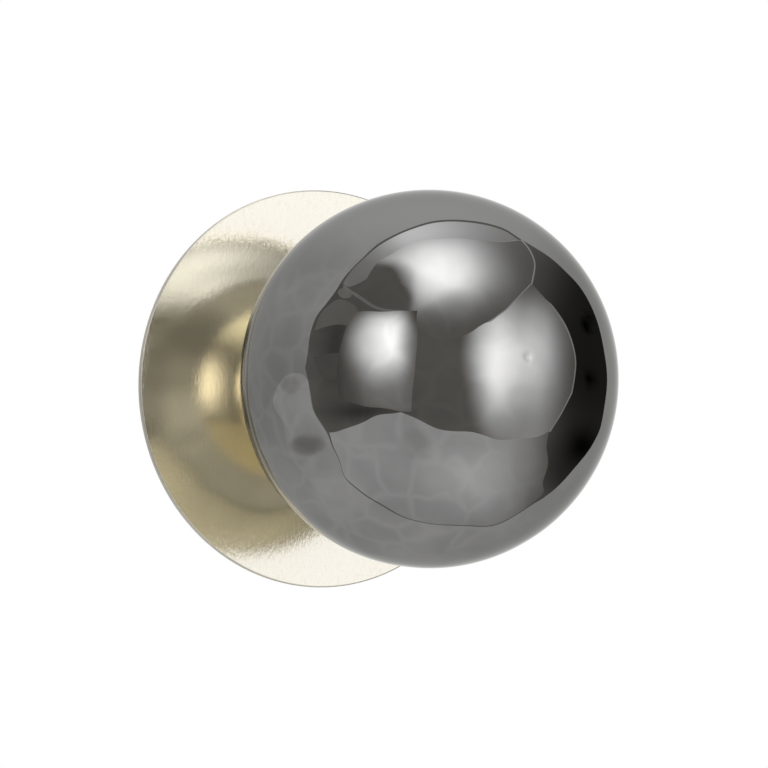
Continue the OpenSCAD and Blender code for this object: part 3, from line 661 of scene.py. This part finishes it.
def paleBrass():
    look = plateLook
    finish, tree, shader = plainFinish("paleBrass", look)
    colour, roughness = shader.inputs["Base Color"], shader.inputs["Roughness"]
    place = addNode(tree, "ShaderNodeTexCoord").outputs["Object"]
    reach = axisReach(tree, place)
    # fine pits of the rolled sheet, strongest toward the rim
    laid = stretched(tree, place, look["stretch"])
    pits = noiseNode(tree, laid, look["pitsPerGrain"] / look["grainSize"], look["pitDetail"])
    deep = spanNode(tree, pits, *look["pitSpan"])
    outer = spanNode(tree, reach, plateRadius * look["pitFrom"], plateRadius, 0.0, look["pitShare"])
    mixInto(tree, colour, mathNode(tree, "MULTIPLY", deep, outer), opaque(look["pitted"]))
    # its back is left as rolled, with long faint lines
    back = spanNode(tree, onePart(tree, place, "Y"), plateHigh.y - look["backSkin"],
                    plateHigh.y - look["backSkin"] / 2)
    drawn = stretched(tree, place, look["backStretch"])
    lines = noiseNode(tree, drawn, 1 / look["backLines"], look["backDetail"])
    clouds = noiseNode(tree, place, 1 / look["toneSize"], look["cloudDetail"])
    share = spanNode(tree, mathNode(tree, "ADD", lines, clouds), *look["backSpan"])
    mixInto(tree, colour, back, colourNode(tree, share, opaque(look["backDark"]), opaque(look["backLight"])))
    mixInto(tree, roughness, back, look["backRough"])
    # the rim is left duller than the polished face
    rimStart = plateRadius - look["rimWidth"]
    rim = spanNode(tree, reach, rimStart, rimStart + look["rimEdge"])
    mixInto(tree, colour, rim, opaque(look["rim"]))
    mixInto(tree, roughness, rim, look["rimRough"])
    return finish


# Marks of the mould: cells pressed into the glass and lighter lines between them, and the pip
marks = {
    "size": 19 * mm,
    "play": 0.9,  # how irregular the cells are
    "soft": 0.9,
    "hollow": 0.75,  # how far each cell's hollow reaches
    "depth": 0.2 * mm,
    "side": Vector((-0.78, -0.42, -0.46)),  # where the marks are deepest
    "sideSpan": (-0.35, 0.75),
    "farShare": 0.08,
    "neckSpan": (0.72, 0.86),  # where the marks fade out toward the neck
    "waver": 60.0,
    "bend": 0.012,
    "lineWidth": 0.17,
    "lineSpan": (0.25, 0.85),
    "lineShare": 0.38,
    "pipPlace": globePoint((528, 357)),
    "pipRadius": 4 * mm,
    "pipDepth": 0.42 * mm,
}


globeLook = {
    "dark": (0.182, 0.182, 0.181),
    "light": (0.218, 0.217, 0.215),
    "cloudScale": 22.0,
    "cloudDetail": 3.0,
    "cloudSpan": (0.34, 0.66),
    "line": (0.25, 0.249, 0.247),
    # painted light: a lighter colour higher up on the globe, standing in for the brighter reflection from
    # above
    "paintedTopLight": (0.272, 0.272, 0.274),
    "paintedTopLightSpan": (0.52, 0.88),  # height above the middle, as a share of the radius
    "rough": (0.0, 0.003),
    "edgeTint": (0.62, 0.62, 0.62),
}


# Mirrored smoke glass: a metal mirror under the glass, with painted light that makes its colour lighter
# higher up, standing in for the brighter reflection from above
def smokeMirror():
    look = globeLook
    finish, tree, shader = newFinish("smokeMirror")
    shader.inputs["Metallic"].default_value = 1.0
    shader.inputs["Specular Tint"].default_value = opaque(look["edgeTint"])
    place = addNode(tree, "ShaderNodeTexCoord").outputs["Object"]
    cloud = noiseNode(tree, place, look["cloudScale"], look["cloudDetail"])
    rough = spanNode(tree, cloud, 0.0, 1.0, *look["rough"])
    tree.links.new(rough, shader.inputs["Roughness"])
    thick = spanNode(tree, cloud, *look["cloudSpan"], soft=True)
    smoke = colourNode(tree, thick, opaque(look["dark"]), opaque(look["light"]))
    arm = vectorNode(tree, "SUBTRACT", place, globeCentre)
    out = vectorNode(tree, "NORMALIZE", arm)
    # painted light: the glass colour is mixed toward a lighter tone higher up on the globe
    high = spanNode(tree, onePart(tree, out, "Z"), *look["paintedTopLightSpan"], soft=True)
    smoke = colourNode(tree, high, smoke, opaque(look["paintedTopLight"]))
    # lighter lines between the marks of the mould
    wander = addNode(tree, "ShaderNodeTexNoise", {"Vector": arm, "Scale": marks["waver"], "Detail": 1.0})
    shift = vectorNode(tree, "SUBTRACT", wander.outputs["Color"], (0.5, 0.5, 0.5))
    bent = vectorNode(tree, "MULTIPLY_ADD", shift, (marks["bend"],) * 3, arm)
    cells = addNode(tree, "ShaderNodeTexVoronoi", {
        "Vector": bent, "Scale": 1 / marks["size"], "Randomness": marks["play"]}, feature="DISTANCE_TO_EDGE")
    line = spanNode(tree, cells.outputs["Distance"], 0.0, marks["lineWidth"], 1.0, 0.0, soft=True)
    facing = vectorNode(tree, "DOT_PRODUCT", out, marks["side"])
    share = spanNode(tree, facing, *marks["lineSpan"], 0.0, marks["lineShare"])
    colour = colourNode(tree, mathNode(tree, "MULTIPLY", line, share), smoke, opaque(look["line"]))
    tree.links.new(colour, shader.inputs["Base Color"])
    return finish


# Globe
globeShape = {
    "neckRadius": 40.5 * mm,
    "beadRadius": 42.25 * mm,
    "boreRadius": 37.5 * mm,
    "shoulderRadius": 5 * mm,
    "wall": 3 * mm,
    "lipRadius": 1.2 * mm,
    "beads": 2,
    "beadWidth": 3 * mm,
    "beadPitch": 6 * mm,
    "sides": 288,
    "outerSteps": 176,
    "innerSteps": 56,
    "shoulderSteps": 10,
    "lipSteps": 5,
}


# Points on an arc, as radius and distance from the wall
def arcPoints(centre, radius, start, stop, steps):
    points = []
    for i in range(steps + 1):
        turn = math.radians(start + (stop - start) * i / steps)
        points.append((centre[0] + radius * math.cos(turn), centre[1] + radius * math.sin(turn)))
    return points


# The globe's outline, from its front pole over the outside to the neck and back along the inside
def globeOutline():
    size = globeShape
    middle = -globeCentre.y
    reach = size["neckRadius"] + size["shoulderRadius"]
    hollow = globeRadius + size["shoulderRadius"]
    join = -math.degrees(math.acos(reach / hollow))
    shoulderLevel = middle - math.sqrt(hollow ** 2 - reach ** 2)
    end = -neckEnd
    outline = arcPoints((0, middle), globeRadius, 90, join, size["outerSteps"])
    outline += arcPoints((reach, shoulderLevel), size["shoulderRadius"], 180 + join, 180,
                         size["shoulderSteps"])[1:]
    slope = size["beadWidth"] / 4
    for i in reversed(range(size["beads"])):
        bead = end + size["beadWidth"] + i * size["beadPitch"]
        for shift, radius in ((2, "neckRadius"), (1, "beadRadius"), (-1, "beadRadius"), (-2, "neckRadius")):
            outline.append((size[radius], bead + shift * slope))
    lip = size["lipRadius"]
    outline += arcPoints((size["neckRadius"] - lip, end + lip), lip, 0, -90, size["lipSteps"])
    outline += arcPoints((size["boreRadius"] + lip, end + lip), lip, -90, -180, size["lipSteps"])
    inner = globeRadius - size["wall"]
    start = -math.degrees(math.acos(size["boreRadius"] / inner))
    outline += arcPoints((0, middle), inner, start, 90, size["innerSteps"])
    return outline


# Turns an outline about the axis; a point on the axis becomes one pole, and an outline that
# ends where it starts closes on itself
def turned(name, outline, sides, finish):
    points, rings = [], []
    for radius, level in outline:
        if radius < 1e-6:
            rings.append([len(points)])
            points.append((0, -level, 0))
            continue
        rings.append(list(range(len(points), len(points) + sides)))
        for i in range(sides):
            turn = 2 * math.pi * i / sides
            points.append((radius * math.cos(turn), -level, radius * math.sin(turn)))
    if outline[0] == outline[-1]:
        points = points[:-sides]
        rings[-1] = rings[0]
    faces = []
    for near, far in zip(rings, rings[1:]):
        for i in range(sides):
            k = (i + 1) % sides
            if len(near) == 1:
                faces.append((near[0], far[k], far[i]))
            elif len(far) == 1:
                faces.append((near[i], near[k], far[0]))
            else:
                faces.append((near[i], near[k], far[k], far[i]))
    made = meshObject(name, points, faces, finish)
    made.data.polygons.foreach_set("use_smooth", [True] * len(made.data.polygons))
    return made


# A tree of geometry nodes for one piece, with an input for each of its sizes
def newTree(name, piece, sockets):
    tree = bpy.data.node_groups.new(name, "GeometryNodeTree")
    for label, kind in {piece: "Geometry", **sockets, "Finish": "Material"}.items():
        tree.interface.new_socket(label, in_out="INPUT", socket_type="NodeSocket" + kind)
    tree.interface.new_socket(piece, in_out="OUTPUT", socket_type="NodeSocketGeometry")
    return tree, addNode(tree, "NodeGroupInput").outputs


# Ends such a tree: its surface gets the finish and is handed out
def endTree(tree, piece, surface, finish):
    real = addNode(tree, "GeometryNodeRealizeInstances", {"Geometry": surface})
    coated = addNode(tree, "GeometryNodeSetMaterial", {"Geometry": real.outputs[0], "Material": finish})
    addNode(tree, "NodeGroupOutput", {piece: coated.outputs[0]})


# Geometry nodes that press the mould's shallow marks and the pip into the glass
def markTree():
    tree, given = newTree("mouldMarks", "Glass", {
        "Centre": "Vector", "Mark Size": "Float", "Depth": "Float", "Marked Side": "Vector",
        "Pip Place": "Vector", "Pip Radius": "Float", "Pip Depth": "Float"})

    def calc(kind, *values):
        return mathNode(tree, kind, *values)

    place = addNode(tree, "GeometryNodeInputPosition").outputs["Position"]
    arm = vectorNode(tree, "SUBTRACT", place, given["Centre"])
    out = vectorNode(tree, "NORMALIZE", arm)
    cells = addNode(tree, "ShaderNodeTexVoronoi", {
        "Vector": arm, "Scale": calc("DIVIDE", 1.0, given["Mark Size"]), "Smoothness": marks["soft"],
        "Randomness": marks["play"]}, feature="SMOOTH_F1")
    hollow = spanNode(tree, cells.outputs["Distance"], 0.0, marks["hollow"], 1.0, 0.0, soft=True)
    facing = vectorNode(tree, "DOT_PRODUCT", out, given["Marked Side"])
    share = spanNode(tree, facing, *marks["sideSpan"], marks["farShare"], 1.0, soft=True)
    pressed = calc("MULTIPLY", calc("MULTIPLY", hollow, share), given["Depth"])
    gap = vectorNode(tree, "DISTANCE", place, given["Pip Place"])
    pip = spanNode(tree, calc("DIVIDE", gap, given["Pip Radius"]), 0.0, 1.0, 1.0, 0.0, soft=True)
    total = calc("ADD", pressed, calc("MULTIPLY", pip, given["Pip Depth"]))
    # the neck stays true: the marks fade out where the surface turns away from the ball
    ball = spanNode(tree, onePart(tree, out, "Y"), *marks["neckSpan"], -1.0, 0.0, soft=True)
    inward = calc("MULTIPLY", total, ball)
    shift = addNode(tree, "ShaderNodeVectorMath", {0: out, "Scale": inward}, operation="SCALE").outputs[0]
    moved = addNode(tree, "GeometryNodeSetPosition", {"Geometry": given["Glass"], "Offset": shift})
    smooth = addNode(tree, "GeometryNodeSetShadeSmooth", {"Geometry": moved.outputs[0]})
    endTree(tree, "Glass", smooth.outputs[0], given["Finish"])
    return tree


# Gives a modifier its inputs by their sockets' identifiers
def setInputs(modifier, values):
    for item in modifier.node_group.interface.items_tree:
        if item.in_out == "INPUT" and item.name in values:
            modifier[item.identifier] = values[item.name]


# The plain mesh that a piece's geometry nodes make
def settled(piece):
    name = piece.name
    seen = piece.evaluated_get(bpy.context.evaluated_depsgraph_get())
    mesh = bpy.data.meshes.new_from_object(seen)
    old = piece.data
    piece.modifiers.clear()
    piece.data = mesh
    bpy.data.meshes.remove(old)
    mesh.name = name
    return piece


def buildGlobe():
    finish = smokeMirror()
    globe = turned("mirrorGlobe", globeOutline(), globeShape["sides"], finish)
    pressing = globe.modifiers.new("mouldMarks", "NODES")
    pressing.node_group = markTree()
    setInputs(pressing, {
        "Centre": globeCentre, "Mark Size": marks["size"], "Depth": marks["depth"],
        "Marked Side": marks["side"], "Pip Place": marks["pipPlace"], "Pip Radius": marks["pipRadius"],
        "Pip Depth": marks["pipDepth"], "Finish": finish,
    })
    settled(globe)
    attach(globe, "globe")
    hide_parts("glass_globe")
    return globe


def coat(names, finish):
    for name in names:
        slots = nodes[name].material_slots
        if not slots:
            nodes[name].data.materials.append(finish)
        for slot in slots:
            slot.material = finish


buildGlobe()
coat(["wall_plate"], paleBrass())
print("globe and plate finished")


# Finishes of the pieces behind and inside
innerLooks = {
    "holderBrass": {
        "nodes": ["globe_holder", "holder_nut"], "colour": (0.40, 0.33, 0.21), "tone": (0.34, 0.275, 0.17),
        "metallic": 1.0, "toneSize": 0.03, "grainSize": 0.6 * mm, "rough": (0.2, 0.32), "bump": 0.25,
        "ringPitch": 0.9 * mm,
    },
    "terminalBrass": {
        "nodes": ["earth_screw", "earth_washer", "plate_studs", "earth_tag", "screw_shell", "centre_contact",
                  "wire_posts", "terminal_inserts"],
        "colour": (0.84, 0.66, 0.35), "tone": (0.76, 0.57, 0.28), "metallic": 1.0, "toneSize": 6 * mm,
        "grainSize": 0.4 * mm, "rough": (0.22, 0.38), "bump": 0.2,
    },
    "zincSteel": {
        "nodes": ["wall_bracket", "housing_screws", "housing_nuts", "stud_nuts", "tube_nut", "threaded_tube",
                  "tube_washer", "terminal_screws", "block_screws"],
        "colour": (0.54, 0.56, 0.58), "tone": (0.63, 0.62, 0.58), "metallic": 1.0, "toneSize": 8 * mm,
        "grainSize": 0.8 * mm, "rough": (0.26, 0.42), "bump": 0.15,
    },
    "whiteEnamel": {
        "nodes": ["rear_housing"], "colour": (0.84, 0.83, 0.80), "tone": (0.80, 0.79, 0.755),
        "toneSize": 0.04, "grainSize": 1.3 * mm, "rough": (0.28, 0.4), "bump": 0.35,
        "sockets": {"Coat Weight": 0.3, "Coat Roughness": 0.15},
    },
    "blackRubber": {
        "nodes": ["cable_bush"], "colour": (0.028, 0.028, 0.028), "tone": (0.05, 0.049, 0.047),
        "toneSize": 5 * mm, "grainSize": 0.5 * mm, "rough": (0.55, 0.75), "bump": 0.3,
    },
    "clearSilicone": {
        "nodes": ["neck_gasket"], "colour": (0.74, 0.74, 0.72), "tone": (0.66, 0.66, 0.63),
        "toneSize": 0.02, "grainSize": 0.7 * mm, "rough": (0.35, 0.5), "bump": 0.15,
        "sockets": {"Transmission Weight": 0.35, "IOR": 1.41},
    },
    "socketPlastic": {
        "nodes": ["socket_cap", "socket_skirt"], "colour": (0.80, 0.775, 0.70), "tone": (0.75, 0.72, 0.64),
        "toneSize": 0.012, "grainSize": 0.6 * mm, "rough": (0.38, 0.55), "bump": 0.2,
    },
    "electricPorcelain": {
        "nodes": ["socket_core"], "colour": (0.86, 0.85, 0.81), "tone": (0.80, 0.785, 0.74),
        "toneSize": 7 * mm, "grainSize": 0.3 * mm, "rough": (0.5, 0.7), "bump": 0.25,
    },
    "terminalNylon": {
        "nodes": ["terminal_block"], "colour": (0.84, 0.85, 0.85), "tone": (0.79, 0.80, 0.79),
        "toneSize": 8 * mm, "grainSize": 0.5 * mm, "rough": (0.3, 0.45), "bump": 0.15,
        "sockets": {"Transmission Weight": 0.15},
    },
    "brownSleeve": {
        "nodes": ["live_wire"], "colour": (0.15, 0.065, 0.03), "tone": (0.19, 0.085, 0.04),
        "toneSize": 5 * mm, "grainSize": 0.5 * mm, "rough": (0.32, 0.45), "bump": 0.12,
    },
    "blueSleeve": {
        "nodes": ["neutral_wire"], "colour": (0.025, 0.11, 0.38), "tone": (0.04, 0.15, 0.46),
        "toneSize": 5 * mm, "grainSize": 0.5 * mm, "rough": (0.32, 0.45), "bump": 0.12,
    },
    "lampGlass": {
        "nodes": ["bulb_glass", "bulb_stem"], "colour": (0.97, 0.975, 0.965), "tone": (0.93, 0.945, 0.93),
        "toneSize": 0.02, "grainSize": 4 * mm, "rough": (0.0, 0.03), "bump": 0.02,
        "sockets": {"Transmission Weight": 1.0, "IOR": 1.5},
    },
    "nickelCap": {
        "nodes": ["bulb_cap", "bulb_contact", "bulb_leads"], "colour": (0.76, 0.75, 0.73),
        "tone": (0.69, 0.68, 0.65), "metallic": 1.0, "toneSize": 6 * mm, "grainSize": 0.4 * mm,
        "rough": (0.18, 0.32), "bump": 0.15,
    },
    "blackGlass": {
        "nodes": ["bulb_insulator"], "colour": (0.018, 0.018, 0.022), "tone": (0.035, 0.034, 0.036),
        "toneSize": 3 * mm, "grainSize": 0.4 * mm, "rough": (0.1, 0.25), "bump": 0.15,
    },
    "phosphor": {
        "nodes": ["bulb_filaments"], "colour": (0.90, 0.60, 0.13), "tone": (0.80, 0.48, 0.09),
        "toneSize": 1.5 * mm, "grainSize": 0.3 * mm, "rough": (0.5, 0.7), "bump": 0.3,
    },
}


# Earth wire: green and yellow stripes that wind round the sleeve
stripes = {
    "green": (0.03, 0.26, 0.06),
    "greenTone": (0.04, 0.31, 0.08),
    "yellow": (0.78, 0.62, 0.04),
    "pitch": 9 * mm,
    "wind": 1.6,
    "greenShare": 0.62,
}


def stripedSleeve():
    look = dict(innerLooks["brownSleeve"], colour=stripes["green"], tone=stripes["greenTone"])
    finish, tree, shader = plainFinish("stripedSleeve", look)
    low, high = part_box("earth_wire")
    middle = (low + high) / 2
    pitch = stripes["pitch"]
    place = addNode(tree, "ShaderNodeTexCoord").outputs["Object"]
    slant = tuple(part / pitch for part in (stripes["wind"], 1.0, stripes["wind"]))
    start = mathNode(tree, "SUBTRACT", vectorNode(tree, "DOT_PRODUCT", place, slant), middle.x / pitch)
    yellow = mathNode(tree, "GREATER_THAN", mathNode(tree, "FRACT", start), stripes["greenShare"])
    mixInto(tree, shader.inputs["Base Color"], yellow, opaque(stripes["yellow"]))
    return finish


finishes = {name: plainFinish(name, look)[0] for name, look in innerLooks.items()}
for name, look in innerLooks.items():
    coat(look["nodes"], finishes[name])
finishes["stripedSleeve"] = stripedSleeve()
coat(["earth_wire"], finishes["stripedSleeve"])
print("inner pieces finished")

# Screw threads that wind round the bulb's cap and the axis tube
threads = {
    "capThread": {
        "node": "bulb_cap", "body": "bulb", "slot": "lamp_cap", "finish": "nickelCap", "pitch": 3.6 * mm,
        "depth": 0.8 * mm, "sheet": 0.5 * mm, "collar": 4 * mm, "sides": 120, "stepsPerTurn": 14,
    },
    "tubeThread": {
        "node": "threaded_tube", "body": "fixture", "slot": "zinc_steel", "finish": "zincSteel",
        "pitch": 1.0 * mm, "depth": 0.45 * mm, "sheet": 0.55 * mm, "collar": 0.0, "sides": 72,
        "stepsPerTurn": 8,
    },
}
threadEdge = math.radians(50)


# Geometry nodes that cut the grooves: what lies outside half the depth sinks between the crests
def threadTree():
    tree, given = newTree("windingThread", "Sleeve", {
        "Pitch": "Float", "Depth": "Float", "Crest Radius": "Float", "Near End": "Float", "Far End": "Float"})

    def calc(kind, *values):
        return mathNode(tree, kind, *values)

    place = addNode(tree, "GeometryNodeInputPosition").outputs["Position"]
    parts = addNode(tree, "ShaderNodeSeparateXYZ", {0: place}).outputs
    turn = calc("DIVIDE", calc("ARCTAN2", parts["Z"], parts["X"]), 2 * math.pi)
    phase = calc("ADD", calc("DIVIDE", parts["Y"], given["Pitch"]), turn)
    crest = calc("MULTIPLY_ADD", calc("COSINE", calc("MULTIPLY", phase, 2 * math.pi)), 0.5, 0.5)
    ends = calc("MINIMUM", calc("SUBTRACT", given["Near End"], parts["Y"]),
                calc("SUBTRACT", parts["Y"], given["Far End"]))
    whole = spanNode(tree, ends, 0.0, given["Pitch"], soft=True)
    groove = calc("MULTIPLY", calc("SUBTRACT", 1.0, calc("MULTIPLY", crest, whole)), given["Depth"])
    halfDepth = calc("SUBTRACT", given["Crest Radius"], calc("MULTIPLY", given["Depth"], 0.5))
    outside = calc("GREATER_THAN", axisReach(tree, place), halfDepth)
    out = vectorNode(tree, "NORMALIZE", vectorNode(tree, "MULTIPLY", place, (1, 0, 1)))
    inward = calc("MULTIPLY", calc("MULTIPLY", groove, outside), -1.0)
    shift = addNode(tree, "ShaderNodeVectorMath", {0: out, "Scale": inward}, operation="SCALE").outputs[0]
    moved = addNode(tree, "GeometryNodeSetPosition", {"Geometry": given["Sleeve"], "Offset": shift})
    endTree(tree, "Sleeve", moved.outputs[0], given["Finish"])
    return tree


def buildThread(name, thread, tree):
    low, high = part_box(thread["node"])
    crest = (high.x - low.x) / 2
    inner = crest - thread["depth"] - thread["sheet"]
    near, far = -high.y, -low.y - thread["collar"]
    steps = round((far - near) / thread["pitch"] * thread["stepsPerTurn"])
    outline = [(crest, near + (far - near) * i / steps) for i in range(steps + 1)]
    if thread["collar"]:
        root = crest - thread["depth"]
        outline += [(root, far + thread["pitch"] * 0.1), (root, -low.y)]  # a short slope down to the collar
    outline += [(inner, -low.y), (inner, near), outline[0]]
    finish = finishes[thread["finish"]]
    sleeve = turned(name, outline, thread["sides"], finish)
    winding = sleeve.modifiers.new("windingThread", "NODES")
    winding.node_group = tree
    setInputs(winding, {"Pitch": thread["pitch"], "Depth": thread["depth"], "Crest Radius": crest,
                        "Near End": -near, "Far End": -far, "Finish": finish})
    settled(sleeve)
    sleeve.data.set_sharp_from_angle(angle=threadEdge)
    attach(sleeve, thread["body"])
    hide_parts(thread["node"])


winding = threadTree()
for name, thread in threads.items():
    buildThread(name, thread, winding)
print("threads cut")

# Round pieces as smooth skins: the node's triangles joined, shaded smooth between its edges
skins = {
    "bulbGlass": {"node": "bulb_glass", "body": "bulb", "slot": "clear_glass"},
    "globeHolder": {"node": "globe_holder", "body": "fixture", "slot": "holder_brass"},
    "rearHousing": {"node": "rear_housing", "body": "fixture", "slot": "white_enamel"},
    "socketSkirt": {"node": "socket_skirt", "body": "fixture", "slot": "socket_plastic"},
    "screwShell": {"node": "screw_shell", "body": "fixture", "slot": "terminal_brass"},
    "liveWire": {"node": "live_wire", "body": "fixture", "slot": "wire_brown"},
    "neutralWire": {"node": "neutral_wire", "body": "fixture", "slot": "wire_blue"},
    "earthWire": {"node": "earth_wire", "body": "fixture", "slot": "wire_green"},
    "cableBush": {"node": "cable_bush", "body": "bracket", "slot": "black_rubber"},
    "neckGasket": {"node": "neck_gasket", "body": "gasket", "slot": "silicone"},
}
skinEdge = math.radians(32)
skinJoin = 0.001 * mm


def buildSkin(name, skin):
    mesh = nodes[skin["node"]].data.copy()
    mesh.name = name
    joined = bmesh.new()
    joined.from_mesh(mesh)
    bmesh.ops.remove_doubles(joined, verts=joined.verts, dist=skinJoin)
    joined.to_mesh(mesh)
    joined.free()
    if "custom_normal" in mesh.attributes:
        mesh.attributes.remove(mesh.attributes["custom_normal"])
    mesh.polygons.foreach_set("use_smooth", [True] * len(mesh.polygons))
    mesh.set_sharp_from_angle(angle=skinEdge)
    made = bpy.data.objects.new(name, mesh)
    scene.collection.objects.link(made)
    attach(made, skin["body"])
    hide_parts(skin["node"])


for name, skin in skins.items():
    buildSkin(name, skin)
print("round pieces smoothed")
